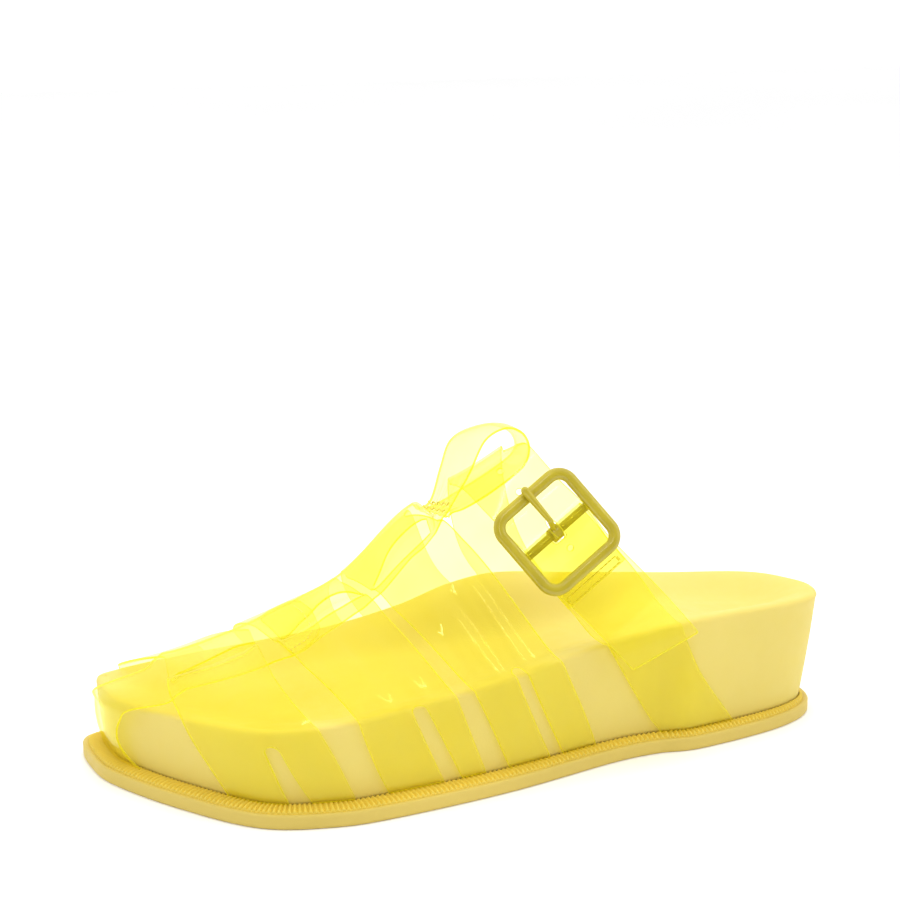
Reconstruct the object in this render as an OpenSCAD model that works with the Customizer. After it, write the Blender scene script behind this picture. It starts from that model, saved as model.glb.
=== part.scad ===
// Platform clog with a woven upper of clear flexible straps and a square buckle.
// Left shoe: +Y to the toe, +X to the inner (medial) side, Z up, standing on z = 0.

/* [Sole] */
// Thickness of the rubber outsole
outsole_t = 4.8; // [4:0.2:6]
// Depth of the tread grooves
tread_d = 1.2; // [0.6:0.2:2]
// Height of the ribbed welt on the outsole's ledge
welt_h = 1.4; // [1:0.1:2]
// Thickness of the filler board under the footbed
filler_t = 1.3; // [1:0.1:2]
// Depth of the footbed's dish below the lower of its two rims
dish_d = 5; // [3:0.5:7]

/* [Straps] */
// Thickness of the strap sheet
strap_t = 1.2; // [1:0.1:1.4]
// How far each strap is turned in under the footbed
lasting = 10; // [6:1:12]
// Width of the slot in each foot of a band
slot_w = 4.6; // [3:0.2:6]
// Height of the slots as a share of the wall's height
slot_share = 0.85; // [0.6:0.05:0.9]

/* [Buckle] */
// Outer side of the square frame
buckle_side = 33.8; // [33:0.2:36]
// Thickness of the frame's rails
wire_d = 2.9; // [2.6:0.1:3]
// Width of the frame's rails
rail_w = 4; // [3.6:0.1:4.2]
// Outer radius of the frame's corners
corner_r = 7; // [5:0.5:9]
// Diameter of the centre bar
bar_d = 2.8; // [2.4:0.1:2.8]
// Height of the frame's plane over the bar's axis
frame_lift = 2.8; // [2.6:0.1:3]
// Diameter of the prong at its root and at its tip
prong_d = 1.9; // [1.6:0.1:2]
tip_d = 2.8; // [2:0.1:3]
// How far the prong is lifted, in degrees
prong_lift = 0; // [0:5:60]

/* [Hidden] */
$fn = 48;

// ---- colours ----
clear_yellow = [1, 0.93, 0.25, 0.6];
pale_yellow = [0.93, 0.85, 0.45];
sole_yellow = [0.87, 0.75, 0.25];
enamel = [0.62, 0.58, 0.08];

// ---- driving curves ----
// Corner points of the outsole's edge: toe, lateral side, heel, medial side
EDGE = [[46, 123.5], [27, 126], [10, 123.5], [-18, 111], [-44, 93.5], [-53, 72],
        [-53.5, 50], [-47.5, 8], [-37, -34], [-35, -52], [-36.5, -68], [-29.5, -102],
        [-18, -121], [0, -126], [18, -119], [30, -100], [33.5, -78], [31.5, -45],
        [34, -12], [43, 22], [50.5, 58], [53.5, 90], [52, 112]];
edge_n = len(EDGE);
// Width of the ledge outside the footbed, by y
LEDGE = [[-126, 3.2], [-95, 5], [-60, 5.4], [0, 6.6], [50, 7.5], [126, 7.5]];
// How far the footbed's wall leans out at its rim, by y
FLARE = [[-126, 5], [-100, 3.4], [-70, 2.2], [126, 2]];
// Height of the footbed's rim on the lateral and on the medial side, by y
RIM_L = [[-126, 43.5], [-105, 44.5], [-66, 45], [-45, 42], [-20, 39.8], [5, 37], [40, 34],
         [70, 31.5], [98, 29.5], [126, 27]];
RIM_M = [[-126, 42.6], [-95, 42.6], [-70, 45.2], [-45, 48.7], [-20, 51.2], [-5, 48.5],
         [12, 41.5], [35, 35.5], [60, 32], [100, 28.5], [126, 27]];
// Crest of the upper: height and x, by y
CREST = [[-60, 122], [-20, 101], [0, 90], [22, 81], [44, 61.5], [60, 54], [73, 48.5],
         [86, 44], [100, 40], [112, 37.5], [121, 34]];
CREST_X = [[-60, 4], [0, 4], [40, 4], [70, 6], [100, 12], [121, 22]];
// Handles of the arch: upright ones at the rim and level ones at the crest, by y
UP_L = [[-60, 0.08], [0, 0.18], [40, 0.28], [70, 0.5], [100, 0.62], [121, 0.62]];
UP_M = [[-60, 0.3], [40, 0.3], [70, 0.32], [100, 0.12], [121, 0.1]];
LEVEL_L = [[-60, 0.3], [0, 0.3], [40, 0.35], [70, 0.5], [100, 0.6], [121, 0.6]];
LEVEL_M = [[-60, 0.3], [40, 0.35], [75, 0.3], [100, 0.12], [121, 0.1]];
// Place on the edge curve of each section's two feet, by crest y
FOOT_L = [[-100, 11], [-80, 10.4], [-60, 9.48], [-40, 8.32], [-20, 7.68], [0, 7.2],
          [20, 6.77], [40, 6.28], [60, 5.6], [80, 4.55], [100, 3.4], [112, 2.5], [121, 1.75]];
FOOT_M = [[-100, 14.9], [-80, 15.9], [-60, 16.55], [-40, 17.15], [-20, 17.73], [0, 18.32],
          [20, 18.9], [40, 19.45], [60, 20.02], [80, 20.65], [100, 21.45], [112, 22.3],
          [121, 22.95]];

// ---- strap edges: y at the lateral foot, y at the crest, bow, y at the medial foot, and
// the medial side's bow ----
FRONT_BAND = [[97.9, 103.8, 5.9, 101, 5], [61.7, 77.2, 10, 64, 12.5]];
MIDDLE_BAND = [[48.6, 75, 6, 52, 7], [15.9, 46.3, 4.2, 18, 5]];
REAR_BAND = [[5.2, 44.1, 6.2, 6, 6], [-28, 24, -0.7, -36, 5.5]];
ANCHOR_STRAP = [[-55.5, 11.7, 5.6, -46, 12], [-83, -12.4, 1.4, -74, 12]];
CROSS_STRAP = [[-55.5, 7.4, 8.8, -46, 9], [-83, -11.8, 1.2, -74, 12]];
// Lateral and medial edge of the lengthwise straps, in arch shares, by crest y
ALONG_LAT = [[14.7, -0.152], [23.5, -0.187], [41.7, -0.198], [54.6, -0.208], [62.1, -0.22],
             [73.6, -0.247], [89, -0.251], [97.7, -0.274], [102.9, -0.307], [107.5, -0.36]];
ALONG_MED = [[14.7, 0.08], [27, 0.07], [45, 0.06], [60, 0.05], [80, 0.05], [95, 0.06], [107.5, 0.06]];
// Side view of the loop at the end of the vamp strap: y and z of its lateral and medial edge
LOOP_LAT = [[19, 81.6], [14.8, 83.4], [11.9, 86.3], [9.3, 91.5], [6.4, 97.4], [1.4, 107],
            [-5.8, 110.4], [-12, 108.4], [-15.8, 103], [-13, 96.6], [-2.5, 90.2], [8, 84.8],
            [11.4, 83.6]];
LOOP_MED = [[17.5, 79.4], [13.4, 80.2], [10.8, 81.9], [8, 87], [5.4, 93.5], [2.2, 101.4],
            [-4, 105], [-13, 105.9], [-20.4, 102.5], [-21.4, 96], [-12, 89.6], [3, 82.6],
            [8.4, 81]];
loop_x = [-10.4, 16];

// Distance of the straps' middle surfaces from the footbed and the foot: crossing bands, the
// lengthwise straps over them, and the second layer of strap on those
band_layer = 1;
top_layer = 3.1;
over_layer = 4.6;
cross_layer = 2.8;
loop_rise = 1.9;
welt_inner = 2;
foot_gap = 0.03;

// ---- buckle frame: x down the strap, y across it, z out of the shoe ----
buckle_at = [-23.3, -17.9, 77.4];
buckle_turn = [55.5, 47, -130];
frame_half = (buckle_side - rail_w) / 2;
tube_gap = 0.06;
hub_half = 1.8;
hub_r = 2.5;
hub_room = hub_half + 0.4;
strap_half = 12.6;
fold_len = 22;
bump_len = 14;
// Middle heights of the sheets over the bar's axis, flat and at the bar
anchor_low = -1.9;
anchor_high = bar_d / 2 + tube_gap + strap_t / 2 - 0.1;
cross_gap = 1.6;
// The free end runs on past the rim of the footbed: its length at the front edge, how much
// longer it is at the rear edge, how far it drifts sideways, and how it bends in to the wall
free_end = 50.9;
end_skew = 5.6;
end_drift = 4.5;
end_bend = 0.0115;

// ---- small functions ----
function clamp01(x) = min(1, max(0, x));
function unit(v) = v / norm(v);
function last(v) = v[len(v) - 1];
function smooth(t) = let (c = clamp01(t)) c * c * (3 - 2 * c);
function seg(x, t, i = 0) = (i >= len(t) - 2 || x < t[i + 1][0]) ? i : seg(x, t, i + 1);
function slope(t, i) = let (a = max(i - 1, 0), b = min(i + 1, len(t) - 1))
    (t[b][1] - t[a][1]) / (t[b][0] - t[a][0]);
// Smooth curve through the points of a table
function curve(x, t) =
    let (c = min(max(x, t[0][0]), last(t)[0]), i = seg(c, t), h = t[i + 1][0] - t[i][0],
         u = (c - t[i][0]) / h)
    (2 * u^3 - 3 * u^2 + 1) * t[i][1] + (u^3 - 2 * u^2 + u) * h * slope(t, i)
    + (3 * u^2 - 2 * u^3) * t[i + 1][1] + (u^3 - u^2) * h * slope(t, i + 1);
// Catmull-Rom point between b and c
function blend(a, b, c, d, t) =
    0.5 * (2 * b + (c - a) * t + (2 * a - 5 * b + 4 * c - d) * t^2 + (3 * b - a - 3 * c + d) * t^3);
function edge_at(u) =
    let (i = floor(u), n = edge_n)
    blend(EDGE[(i + n - 1) % n], EDGE[i % n], EDGE[(i + 1) % n], EDGE[(i + 2) % n], u - i);
// Outward direction of the edge curve
function edge_out(u) = let (t = unit(edge_at(u + 0.02) - edge_at(u + edge_n - 0.02)))
    [t[1], -t[0]];
// Foot of the footbed's wall, moved out by o
function wall_at(u, o = 0) = let (p = edge_at(u)) p - edge_out(u) * (curve(p[1], LEDGE) - o);
function open_spline(p, n) = [
    for (i = [0:len(p) - 2], k = [0:n - 1])
        blend(p[max(i - 1, 0)], p[i], p[i + 1], p[min(i + 2, len(p) - 1)], k / n),
    last(p)];
function is_medial(u) = u > 13 || u < 0.5;
function rim_z(u) = let (y = edge_at(u)[1]) is_medial(u) ? curve(y, RIM_M) : curve(y, RIM_L);

// Point of the upper: crest position y, s from -1 (lateral foot) over 0 (crest) to 1,
// moved out of the shoe by o
function upper(y, s, o) =
    let (lat = s <= 0, u = lat ? curve(y, FOOT_L) : curve(y, FOOT_M),
         foot = wall_at(u, o), out = edge_out(u), lean = curve(foot[1], FLARE),
         rim = lat ? curve(foot[1], RIM_L) : curve(foot[1], RIM_M),
         rim_xy = foot + out * lean, top_z = curve(y, CREST) + o,
         top_xy = [curve(y, CREST_X), y], rise = top_z - rim,
         up = lat ? curve(y, UP_L) : curve(y, UP_M),
         level = lat ? curve(y, LEVEL_L) : curve(y, LEVEL_M),
         wall = rim - outsole_t,
         share = wall / (wall + 1.05 * norm([norm(rim_xy - top_xy), rise])),
         w = 1 - abs(s), t = clamp01(w / share), v = clamp01((w - share) / (1 - share)),
         b0 = (1 - v)^3, b1 = 3 * v * (1 - v)^2, b2 = 3 * v^2 * (1 - v), b3 = v^3,
         xy = w < share ? foot + out * lean * t
            : rim_xy * (b0 + b1) + (top_xy + (rim_xy - top_xy) * level) * b2 + top_xy * b3,
         z = w < share ? outsole_t + wall * t
           : rim * b0 + (rim + rise * up) * b1 + top_z * (b2 + b3))
    [xy[0], xy[1], z];
// y of a strap's edge at share s of the arch
function edge_y(e, s) =
    let (w = 1 - abs(s), foot = s <= 0 ? e[0] : e[3], bow = s <= 0 ? e[2] : e[4])
    foot + (e[1] - foot) * w + 4 * bow * w * (1 - w);
// Point of a crossing strap, w from 0 (front edge) to 1 (rear edge)
function cross_at(strap, s, w, o) =
    upper(edge_y(strap[0], s) * (1 - w) + edge_y(strap[1], s) * w, s, o);

// ---- closed thin solid from a grid of its middle points ----
function grid_normal(g, i, j) =
    let (a = g[min(i + 1, len(g) - 1)][j] - g[max(i - 1, 0)][j],
         b = g[i][min(j + 1, len(g[0]) - 1)] - g[i][max(j - 1, 0)])
    unit(cross(a, b));
module sheet(g, t) {
    rows = len(g);
    cols = len(g[0]);
    n = rows * cols;
    function at(i, j) = i * cols + j;
    points = [for (side = [1, -1], i = [0:rows - 1], j = [0:cols - 1])
        g[i][j] + grid_normal(g, i, j) * side * t / 2];
    rim = concat([for (j = [0:cols - 1]) at(0, j)], [for (i = [1:rows - 1]) at(i, cols - 1)],
                 [for (j = [cols - 2:-1:0]) at(rows - 1, j)], [for (i = [rows - 2:-1:1]) at(i, 0)]);
    faces = concat(
        [for (i = [0:rows - 2], j = [0:cols - 2]) each
            [[at(i, j), at(i, j + 1), at(i + 1, j + 1)], [at(i, j), at(i + 1, j + 1), at(i + 1, j)],
             [n + at(i, j), n + at(i + 1, j + 1), n + at(i, j + 1)],
             [n + at(i, j), n + at(i + 1, j), n + at(i + 1, j + 1)]]],
        [for (k = [0:len(rim) - 1]) let (a = rim[k], b = rim[(k + 1) % len(rim)]) each
            [[a, n + a, n + b], [a, n + b, b]]]);
    polyhedron(points, faces);
}

// ---- sole ----
edge_steps = 8;
edge_us = [for (k = [0:edge_n * edge_steps - 1]) k / edge_steps];
module outline(inset) {
    polygon([for (u = edge_us) wall_at(u, curve(edge_at(u)[1], LEDGE) - inset)]);
}
module outsole() color(sole_yellow) {
    groove_pitch = 14;
    groove_w = 2.4;
    tread_border = 4;
    difference() {
        linear_extrude(outsole_t) outline(0);
        translate([0, 0, -1]) linear_extrude(1 + tread_d) intersection() {
            outline(tread_border);
            for (y = [-98:groove_pitch:98]) translate([-60, y]) square([120, groove_w]);
        }
    }
}
// The welt keeps clear of the straps' feet and leaves a smooth border on the outsole's ledge
module ribbed_welt() {
    border = 2;
    function ledge_w(u) = curve(edge_at(u)[1], LEDGE);
    color(sole_yellow) translate([0, 0, outsole_t]) linear_extrude(welt_h) difference() {
        polygon([for (u = edge_us) wall_at(u, ledge_w(u) - border)]);
        polygon([for (u = edge_us) wall_at(u, min(welt_inner, ledge_w(u) - border - 0.6))]);
    }
}
// The filler board lies between the straps' turned-in feet
module filler_board() color(pale_yellow)
    translate([0, 0, outsole_t]) linear_extrude(filler_t) offset(delta = -lasting - 2)
        polygon([for (u = edge_us) wall_at(u)]);
module footbed() {
    n = len(edge_us);
    base_z = outsole_t + filler_t;
    // Rings from the foot of the wall over the rim and down into the dish
    function ring_point(u, k) =
        let (p = wall_at(u), out = edge_out(u), rim = rim_z(u), q = p + out * curve(p[1], FLARE),
             mid = [2, min(max(p[1], -92), 78)], far = norm(q - mid), inward = unit(mid - q),
             flat = min(curve(p[1], RIM_L), curve(p[1], RIM_M)) - dish_d)
        k == 0 ? concat(p, base_z)
        : k == 1 ? concat(p + (q - p) * 0.92, rim - 2.4)
        : k == 2 ? concat(q - out * 0.5, rim - 0.6)
        : k == 3 ? concat(q - out * 2, rim)
        : k == 4 ? concat(q - out * 5, rim - 1)
        : k == 5 ? concat(q + inward * far * 0.35, flat + (rim - 4 - flat) * 0.35)
        : concat(q + inward * far * 0.7, flat);
    points = [for (k = [0:6], u = edge_us) ring_point(u, k)];
    wall = [for (k = [0:5], i = [0:n - 1]) let (j = (i + 1) % n, a = k * n, b = a + n) each
        [[a + i, b + i, b + j], [a + i, b + j, a + j]]];
    // The floor of the dish is closed across, lateral point to medial point
    m = 6 * n;
    floor_strips = [for (i = [0:n / 2 - 2]) let (a = m + i, b = m + n - 1 - i) each
        [[a, b, b - 1], [a, b - 1, a + 1]]];
    color(pale_yellow)
        polyhedron(points, concat(wall, floor_strips, [[for (i = [0:n - 1]) i]]));
}

// ---- upper: bands over the foot, each with a slot in its two feet ----
function foot_u(strap, side, w) =
    curve(edge_y(strap[0], side) * (1 - w) + edge_y(strap[1], side) * w,
          side < 0 ? FOOT_L : FOOT_M);
// Rows of a strap's end turned in under the footbed, from inside out to its foot
foot_z = outsole_t + strap_t / 2 + foot_gap;
function turned_in(strap, side) = [for (k = [0:2]) [for (w = [0:0.125:1])
    let (p = cross_at(strap, side, w, band_layer), out = edge_out(foot_u(strap, side, w)))
    concat([p[0], p[1]] - out * lasting * (1 - k / 2), foot_z)]];
function flipped(rows) = [for (i = [len(rows) - 1:-1:0]) rows[i]];
module band(strap) {
    steps = 44;
    rows = [for (i = [1:steps - 1]) [for (w = [0:0.125:1])
        cross_at(strap, -1 + 2 * i / steps, w, band_layer)]];
    difference() {
        sheet(concat(turned_in(strap, -1), rows, flipped(turned_in(strap, 1))), strap_t);
        for (side = [-1, 1]) band_slot(strap, side);
    }
}
// Upright slot in the middle of a strap's foot, leaning with the strap
module band_slot(strap, side) {
    low = cross_at(strap, side, 0.5, 0);
    high = cross_at(strap, side * 0.78, 0.5, 0);
    out = edge_out(foot_u(strap, side, 0.5));
    lean = (high - low) * [-out[1], out[0], 0] / (high[2] - low[2]);
    h = slot_share * (curve(low[1], side < 0 ? RIM_L : RIM_M) - outsole_t);
    translate([low[0], low[1], outsole_t]) rotate([0, 0, atan2(out[1], out[0])])
        multmatrix([[1, 0, 0, 0], [0, 1, lean, 0], [0, 0, 1, 0]])
            translate([-lasting - 1, -slot_w / 2, -1]) cube([lasting + 9, slot_w, h + 1]);
}
module front_band() color(clear_yellow) band(FRONT_BAND);
module middle_band() color(clear_yellow) band(MIDDLE_BAND);
module rear_band() color(clear_yellow) band(REAR_BAND);

// ---- lengthwise straps ----
function along_at(y, w, o) = upper(y, curve(y, ALONG_LAT) * (1 - w) + curve(y, ALONG_MED) * w, o);
// The toe strap is turned in under the toe, stands off the toe wall, runs back along the
// crest over the front band, and ends in a tab on the vamp strap
TAB = [[107, top_layer], [101, top_layer], [94, top_layer], [87, top_layer], [80, over_layer],
       [72, over_layer], [61, over_layer]];
module toe_strap() {
    function toe_u(w) = 2.2 - 1.75 * w;
    function foot(w, inset) = concat(wall_at(toe_u(w), band_layer - inset), foot_z);
    function column(w) = let (out = concat(edge_out(toe_u(w)), 0), p = foot(w, 0))
        concat([p, p + [0, 0, 3], p + out * 2.4 + [0, 0, 11], p + out * 3.4 + [0, 0, 20]],
               [for (t = TAB) along_at(t[0], w, t[1])]);
    columns = [for (w = [0:0.125:1])
        concat([foot(w, lasting), foot(w, lasting / 2)], open_spline(column(w), 3))];
    color(clear_yellow)
        sheet([for (i = [0:len(columns[0]) - 1]) [for (c = columns) c[i]]], strap_t);
}
loop_lat = open_spline(LOOP_LAT, 3);
loop_med = open_spline(LOOP_MED, 3);
// Share of its width that the loop loses where its two ends are gathered
function gather(i) = 0.2 * max(exp(-((i / 3 - 2) / 1.3)^2), exp(-((i / 3 - 12) / 1.1)^2));
// Point of row i of the loop, w from 0 (lateral edge) to 1 (medial edge)
function loop_at(i, w) =
    let (mid = (loop_x[0] + loop_x[1]) / 2, half = (loop_x[1] - loop_x[0]) / 2 * (1 - gather(i)),
         yz = loop_lat[i] * (1 - w) + loop_med[i] * w)
    [mid + (2 * w - 1) * half, yz[0], yz[1]];
module vamp_strap() {
    flat_rows = [for (y = [79:-5:19]) [for (w = [0:0.125:1]) along_at(y, w, top_layer)]];
    loop_rows = [for (i = [3:len(loop_lat) - 1]) [for (w = [0:0.125:1]) loop_at(i, w)]];
    color(clear_yellow) sheet(concat(flat_rows, loop_rows), strap_t);
}

// ---- buckle strap and its anchor ----
function turn_x(a, v) = [v[0], v[1] * cos(a) - v[2] * sin(a), v[1] * sin(a) + v[2] * cos(a)];
function turn_y(a, v) = [v[0] * cos(a) + v[2] * sin(a), v[1], v[2] * cos(a) - v[0] * sin(a)];
function turn_z(a, v) = [v[0] * cos(a) - v[1] * sin(a), v[0] * sin(a) + v[1] * cos(a), v[2]];
function turned(v) = turn_z(buckle_turn[2], turn_y(buckle_turn[1], turn_x(buckle_turn[0], v)));
down = turned([1, 0, 0]);
across = turned([0, 1, 0]);
outward = turned([0, 0, 1]);
function bump(a) = abs(a) > bump_len ? 0 : (1 + cos(180 * a / bump_len)) / 2;
function anchor_z(a) = anchor_low + (anchor_high - anchor_low) * bump(a);
function cross_z(a) = anchor_z(a) + cross_gap;
// The folded end lies under the anchor strap
function fold_z(a) =
    let (far = anchor_z(max(a, 8)) - strap_t - 0.08) far + (-anchor_high - far) * (1 - smooth(a / 8));
function buckle_point(x, y, z) = buckle_at + down * x + across * y + outward * z;
// Point of a strap near the buckle, at share s and w across: flattened into the buckle's own
// frame, which fades out down the wall and at the crest. Its front edge sags before the crest.
function near_buckle(p, s, w, z) =
    let (a = down_of(s), k = (1 - smooth((abs(a) - 22) / 24)) * smooth((-s - 0.005) / 0.07),
         sag = crest_sag * (1 - w) * smooth((-a - 12) / 16),
         flat = buckle_point(a, (2 * w - 1) * strap_half, z - sag))
    p * (1 - k) + flat * k;
crest_sag = 2.6;
function anchor_mid(s) = (cross_at(ANCHOR_STRAP, s, 0, 1) + cross_at(ANCHOR_STRAP, s, 1, 1)) / 2;
function down_of(s) = (anchor_mid(s) - buckle_at) * down;
// Arch share at which the strap's middle line is a below the bar
function share_at(a, lo = -0.95, hi = -0.1, n = 24) = let (m = (lo + hi) / 2)
    n == 0 ? m : down_of(m) > a ? share_at(a, m, hi, n - 1) : share_at(a, lo, m, n - 1);
bar_share = share_at(0);
module in_buckle_frame() translate(buckle_at) rotate(buckle_turn) children();

// The anchor strap runs up from its foot, round the bar and back under itself
module anchor_strap() {
    steps = 30;
    bend = 12;
    widths = [0:0.125:1];
    outer_part = [for (i = [1:steps]) let (s = -1 + (bar_share + 1) * i / steps) [for (w = widths)
        near_buckle(cross_at(ANCHOR_STRAP, s, w, band_layer), s, w, anchor_z(down_of(s)))]];
    wrap = [for (i = [1:bend]) let (t = 90 + 180 * i / bend) [for (w = widths)
        buckle_point(anchor_high * cos(t), (2 * w - 1) * strap_half, anchor_high * sin(t))]];
    folded = [for (a = [2:2:fold_len]) [for (w = widths)
        buckle_point(a, (2 * w - 1) * strap_half, fold_z(a))]];
    color(clear_yellow) difference() {
        sheet(concat(turned_in(ANCHOR_STRAP, -1), outer_part, wrap, folded), strap_t);
        in_buckle_frame() {
            rotate([90, 0, 0])
                cylinder(r = bar_d / 2 + tube_gap, h = 3 * strap_half, center = true);
            translate([-6, -hub_room, -6]) cube([12, 2 * hub_room, 12]);
        }
    }
}
// The buckle strap runs from its free end under the frame, over the bar, through the loop and
// down to its medial foot
module buckle_strap() {
    steps = 46;
    flat_until = -0.02;
    // Out over the loop's lower end on the medial side, and down to the wall below it
    function layer(s) = cross_layer + loop_rise * smooth(s / 0.1) * (1 - smooth((s - 0.28) / 0.2))
        - (cross_layer - band_layer) * smooth((s - 0.5) / 0.3);
    function point(s, w) = let (p = cross_at(CROSS_STRAP, s, w, layer(s)))
        s < flat_until ? near_buckle(p, s, w, cross_z(down_of(s))) : p;
    free_rows = [for (t = [1:-0.05:0.04]) [for (w = [0:0.125:1]) let (a = t * (free_end + end_skew * w))
        buckle_point(a, (2 * w - 1) * strap_half + end_drift * (a / free_end)^2,
                     cross_z(a) - end_bend * max(a - 24, 0)^2)]];
    rows = [for (i = [0:steps - 1]) let (s = bar_share + (1 - bar_share) * i / steps)
        [for (w = [0:0.125:1]) point(s, w)]];
    color(clear_yellow) difference() {
        sheet(concat(free_rows, rows, flipped(turned_in(CROSS_STRAP, 1))), strap_t);
        in_buckle_frame() translate([-6.6, -hub_room, -1]) cube([10.8, 2 * hub_room, 9]);
    }
}

// ---- buckle ----
post_at = frame_half - 0.6;
module rail() scale([rail_w, wire_d]) circle(d = 1);
module buckle_frame() color(enamel) in_buckle_frame() {
    straight = frame_half - corner_r + rail_w / 2;
    translate([0, 0, frame_lift]) {
        for (q = [0:3]) rotate([0, 0, 90 * q]) {
            translate([frame_half, 0, 0]) rotate([90, 0, 0])
                linear_extrude(2 * straight, center = true) rail();
            translate([straight, straight, 0]) rotate_extrude(angle = 90)
                translate([corner_r - rail_w / 2, 0]) rail();
        }
    }
    for (side = [-1, 1]) translate([0, side * post_at, 0]) difference() {
        translate([0, 0, -bar_d / 2 - 0.5]) cylinder(d = wire_d + 0.15, h = frame_lift + 1.9);
        rotate([90, 0, 0]) cylinder(d = bar_d + 0.06, h = 10, center = true);
    }
}
module buckle_bar() color(enamel) in_buckle_frame()
    rotate([90, 0, 0]) cylinder(d = bar_d, h = 2 * post_at + 1.6, center = true);
module buckle_prong() color(enamel) in_buckle_frame() rotate([0, prong_lift, 0]) {
    root = [-1.2, 0, 1.5];
    knee = [-4.4, 0, 5.1];
    tip = [-16.8, 0, frame_lift + wire_d / 2 + tip_d / 2 + 0.06];
    difference() {
        rotate([90, 0, 0]) cylinder(r = hub_r, h = 2 * hub_half, center = true);
        rotate([90, 0, 0]) cylinder(d = bar_d + 2 * tube_gap, h = 10, center = true);
    }
    rod(root, knee, prong_d);
    rod(knee, tip, prong_d, tip_d);
    translate(knee) sphere(d = prong_d + 0.12);
    translate(tip) sphere(d = tip_d - 0.1);
}
// Round rod from a to b, its diameter going from d to end_d
module rod(a, b, d, end_d = 0) {
    v = b - a;
    translate(a) rotate([0, acos(v[2] / norm(v)), atan2(v[1], v[0])])
        cylinder(d1 = d, d2 = end_d > 0 ? end_d : d, h = norm(v));
}

// ---- stitching: short threads lying on the straps ----
thread_d = 0.36;
function on_strap(o) = o + (strap_t + thread_d) / 2 + 0.02;
// One thread between each two neighbours of a row of points
module threads(points) {
    for (k = [0:len(points) - 2]) {
        step = points[k + 1] - points[k];
        rod(points[k] + step * 0.14, points[k] + step * 0.86, thread_d);
    }
}
// Two rows over the gather at the foot of the loop
gather_out = [0, 0.9, 0.45];
module loop_stitching() color(pale_yellow)
    for (i = [5, 7])
        threads([for (w = [0.08:0.12:0.93]) loop_at(i, w) + gather_out * (on_strap(0) + 0.3)]);
// Two rows across the anchor strap's folded end, on its outer and on its inner face
module anchor_stitching() color(pale_yellow) in_buckle_frame()
    for (a = [fold_len - 4, fold_len - 1], z = [anchor_low + on_strap(0), fold_z(a) - on_strap(0)])
        threads([for (y = [-11:2.2:11]) [a, y, z]]);
// Along both edges of the toe strap's tab
module toe_stitching() color(pale_yellow)
    for (w = [0.1, 0.9])
        threads([for (y = [78:-2:66]) along_at(y, w, on_strap(over_layer) + 0.2)]);

outsole();
ribbed_welt();
filler_board();
footbed();
toe_strap();
vamp_strap();
front_band();
middle_band();
rear_band();
anchor_strap();
buckle_strap();
buckle_frame();
buckle_bar();
buckle_prong();
loop_stitching();
anchor_stitching();
toe_stitching();
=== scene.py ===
"""Looks of the platform mule: clear strap upper, foam footbed, rubber outsole, enamelled buckle.

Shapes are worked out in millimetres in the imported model's own frame and built in metres.
Left shoe: +Y to the toe, +X to the inner (medial) side, Z up, standing on z = 0.
"""
import bmesh
import bpy
import math
import numpy as np
from mathutils import Matrix, Vector
from mathutils.geometry import delaunay_2d_cdt


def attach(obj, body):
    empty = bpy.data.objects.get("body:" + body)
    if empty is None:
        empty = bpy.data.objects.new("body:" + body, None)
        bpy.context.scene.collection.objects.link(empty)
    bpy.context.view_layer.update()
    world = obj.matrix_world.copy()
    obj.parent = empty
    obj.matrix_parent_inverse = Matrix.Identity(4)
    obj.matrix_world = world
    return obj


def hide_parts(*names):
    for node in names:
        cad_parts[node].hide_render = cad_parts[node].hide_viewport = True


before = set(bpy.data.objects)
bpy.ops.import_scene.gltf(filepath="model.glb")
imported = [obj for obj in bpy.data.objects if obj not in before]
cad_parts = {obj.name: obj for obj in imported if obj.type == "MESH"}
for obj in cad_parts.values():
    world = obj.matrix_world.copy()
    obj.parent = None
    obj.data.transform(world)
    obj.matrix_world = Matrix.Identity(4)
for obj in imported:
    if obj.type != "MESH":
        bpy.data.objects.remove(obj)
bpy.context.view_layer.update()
MM = 0.001

# ---------------------------------------------------------------- driving curves, as in the CAD
OUTSOLE_T = 4.8
EDGE = np.array([
    (46, 123.5), (27, 126), (10, 123.5), (-18, 111), (-44, 93.5), (-53, 72), (-53.5, 50),
    (-47.5, 8), (-37, -34), (-35, -52), (-36.5, -68), (-29.5, -102), (-18, -121), (0, -126),
    (18, -119), (30, -100), (33.5, -78), (31.5, -45), (34, -12), (43, 22), (50.5, 58),
    (53.5, 90), (52, 112)], float)
LEDGE = [(-126, 3.2), (-95, 5), (-60, 5.4), (0, 6.6), (50, 7.5), (126, 7.5)]
FLARE = [(-126, 5), (-100, 3.4), (-70, 2.2), (126, 2)]
# Where on the edge curve the rim changes from one side's heights to the other's
HEEL_TURN, TOE_TURN = 12.5, 22.6
RIM_L = [(-126, 43.5), (-105, 44.5), (-66, 45), (-45, 42), (-20, 39.8), (5, 37), (40, 34),
         (70, 31.5), (98, 29.5), (126, 27)]
RIM_M = [(-126, 42.6), (-95, 42.6), (-70, 45.2), (-45, 48.7), (-20, 51.2), (-5, 48.5),
         (12, 41.5), (35, 35.5), (60, 32), (100, 28.5), (126, 27)]
CREST = [(-60, 122), (-20, 101), (0, 90), (22, 81), (44, 61.5), (60, 54), (73, 48.5),
         (86, 44), (100, 40), (112, 37.5), (121, 34)]
CREST_X = [(-60, 4), (0, 4), (40, 4), (70, 6), (100, 12), (121, 22)]
UP_L = [(-60, 0.08), (0, 0.18), (40, 0.28), (70, 0.5), (100, 0.62), (121, 0.62)]
UP_M = [(-60, 0.3), (40, 0.3), (70, 0.32), (100, 0.12), (121, 0.1)]
LEVEL_L = [(-60, 0.3), (0, 0.3), (40, 0.35), (70, 0.5), (100, 0.6), (121, 0.6)]
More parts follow.
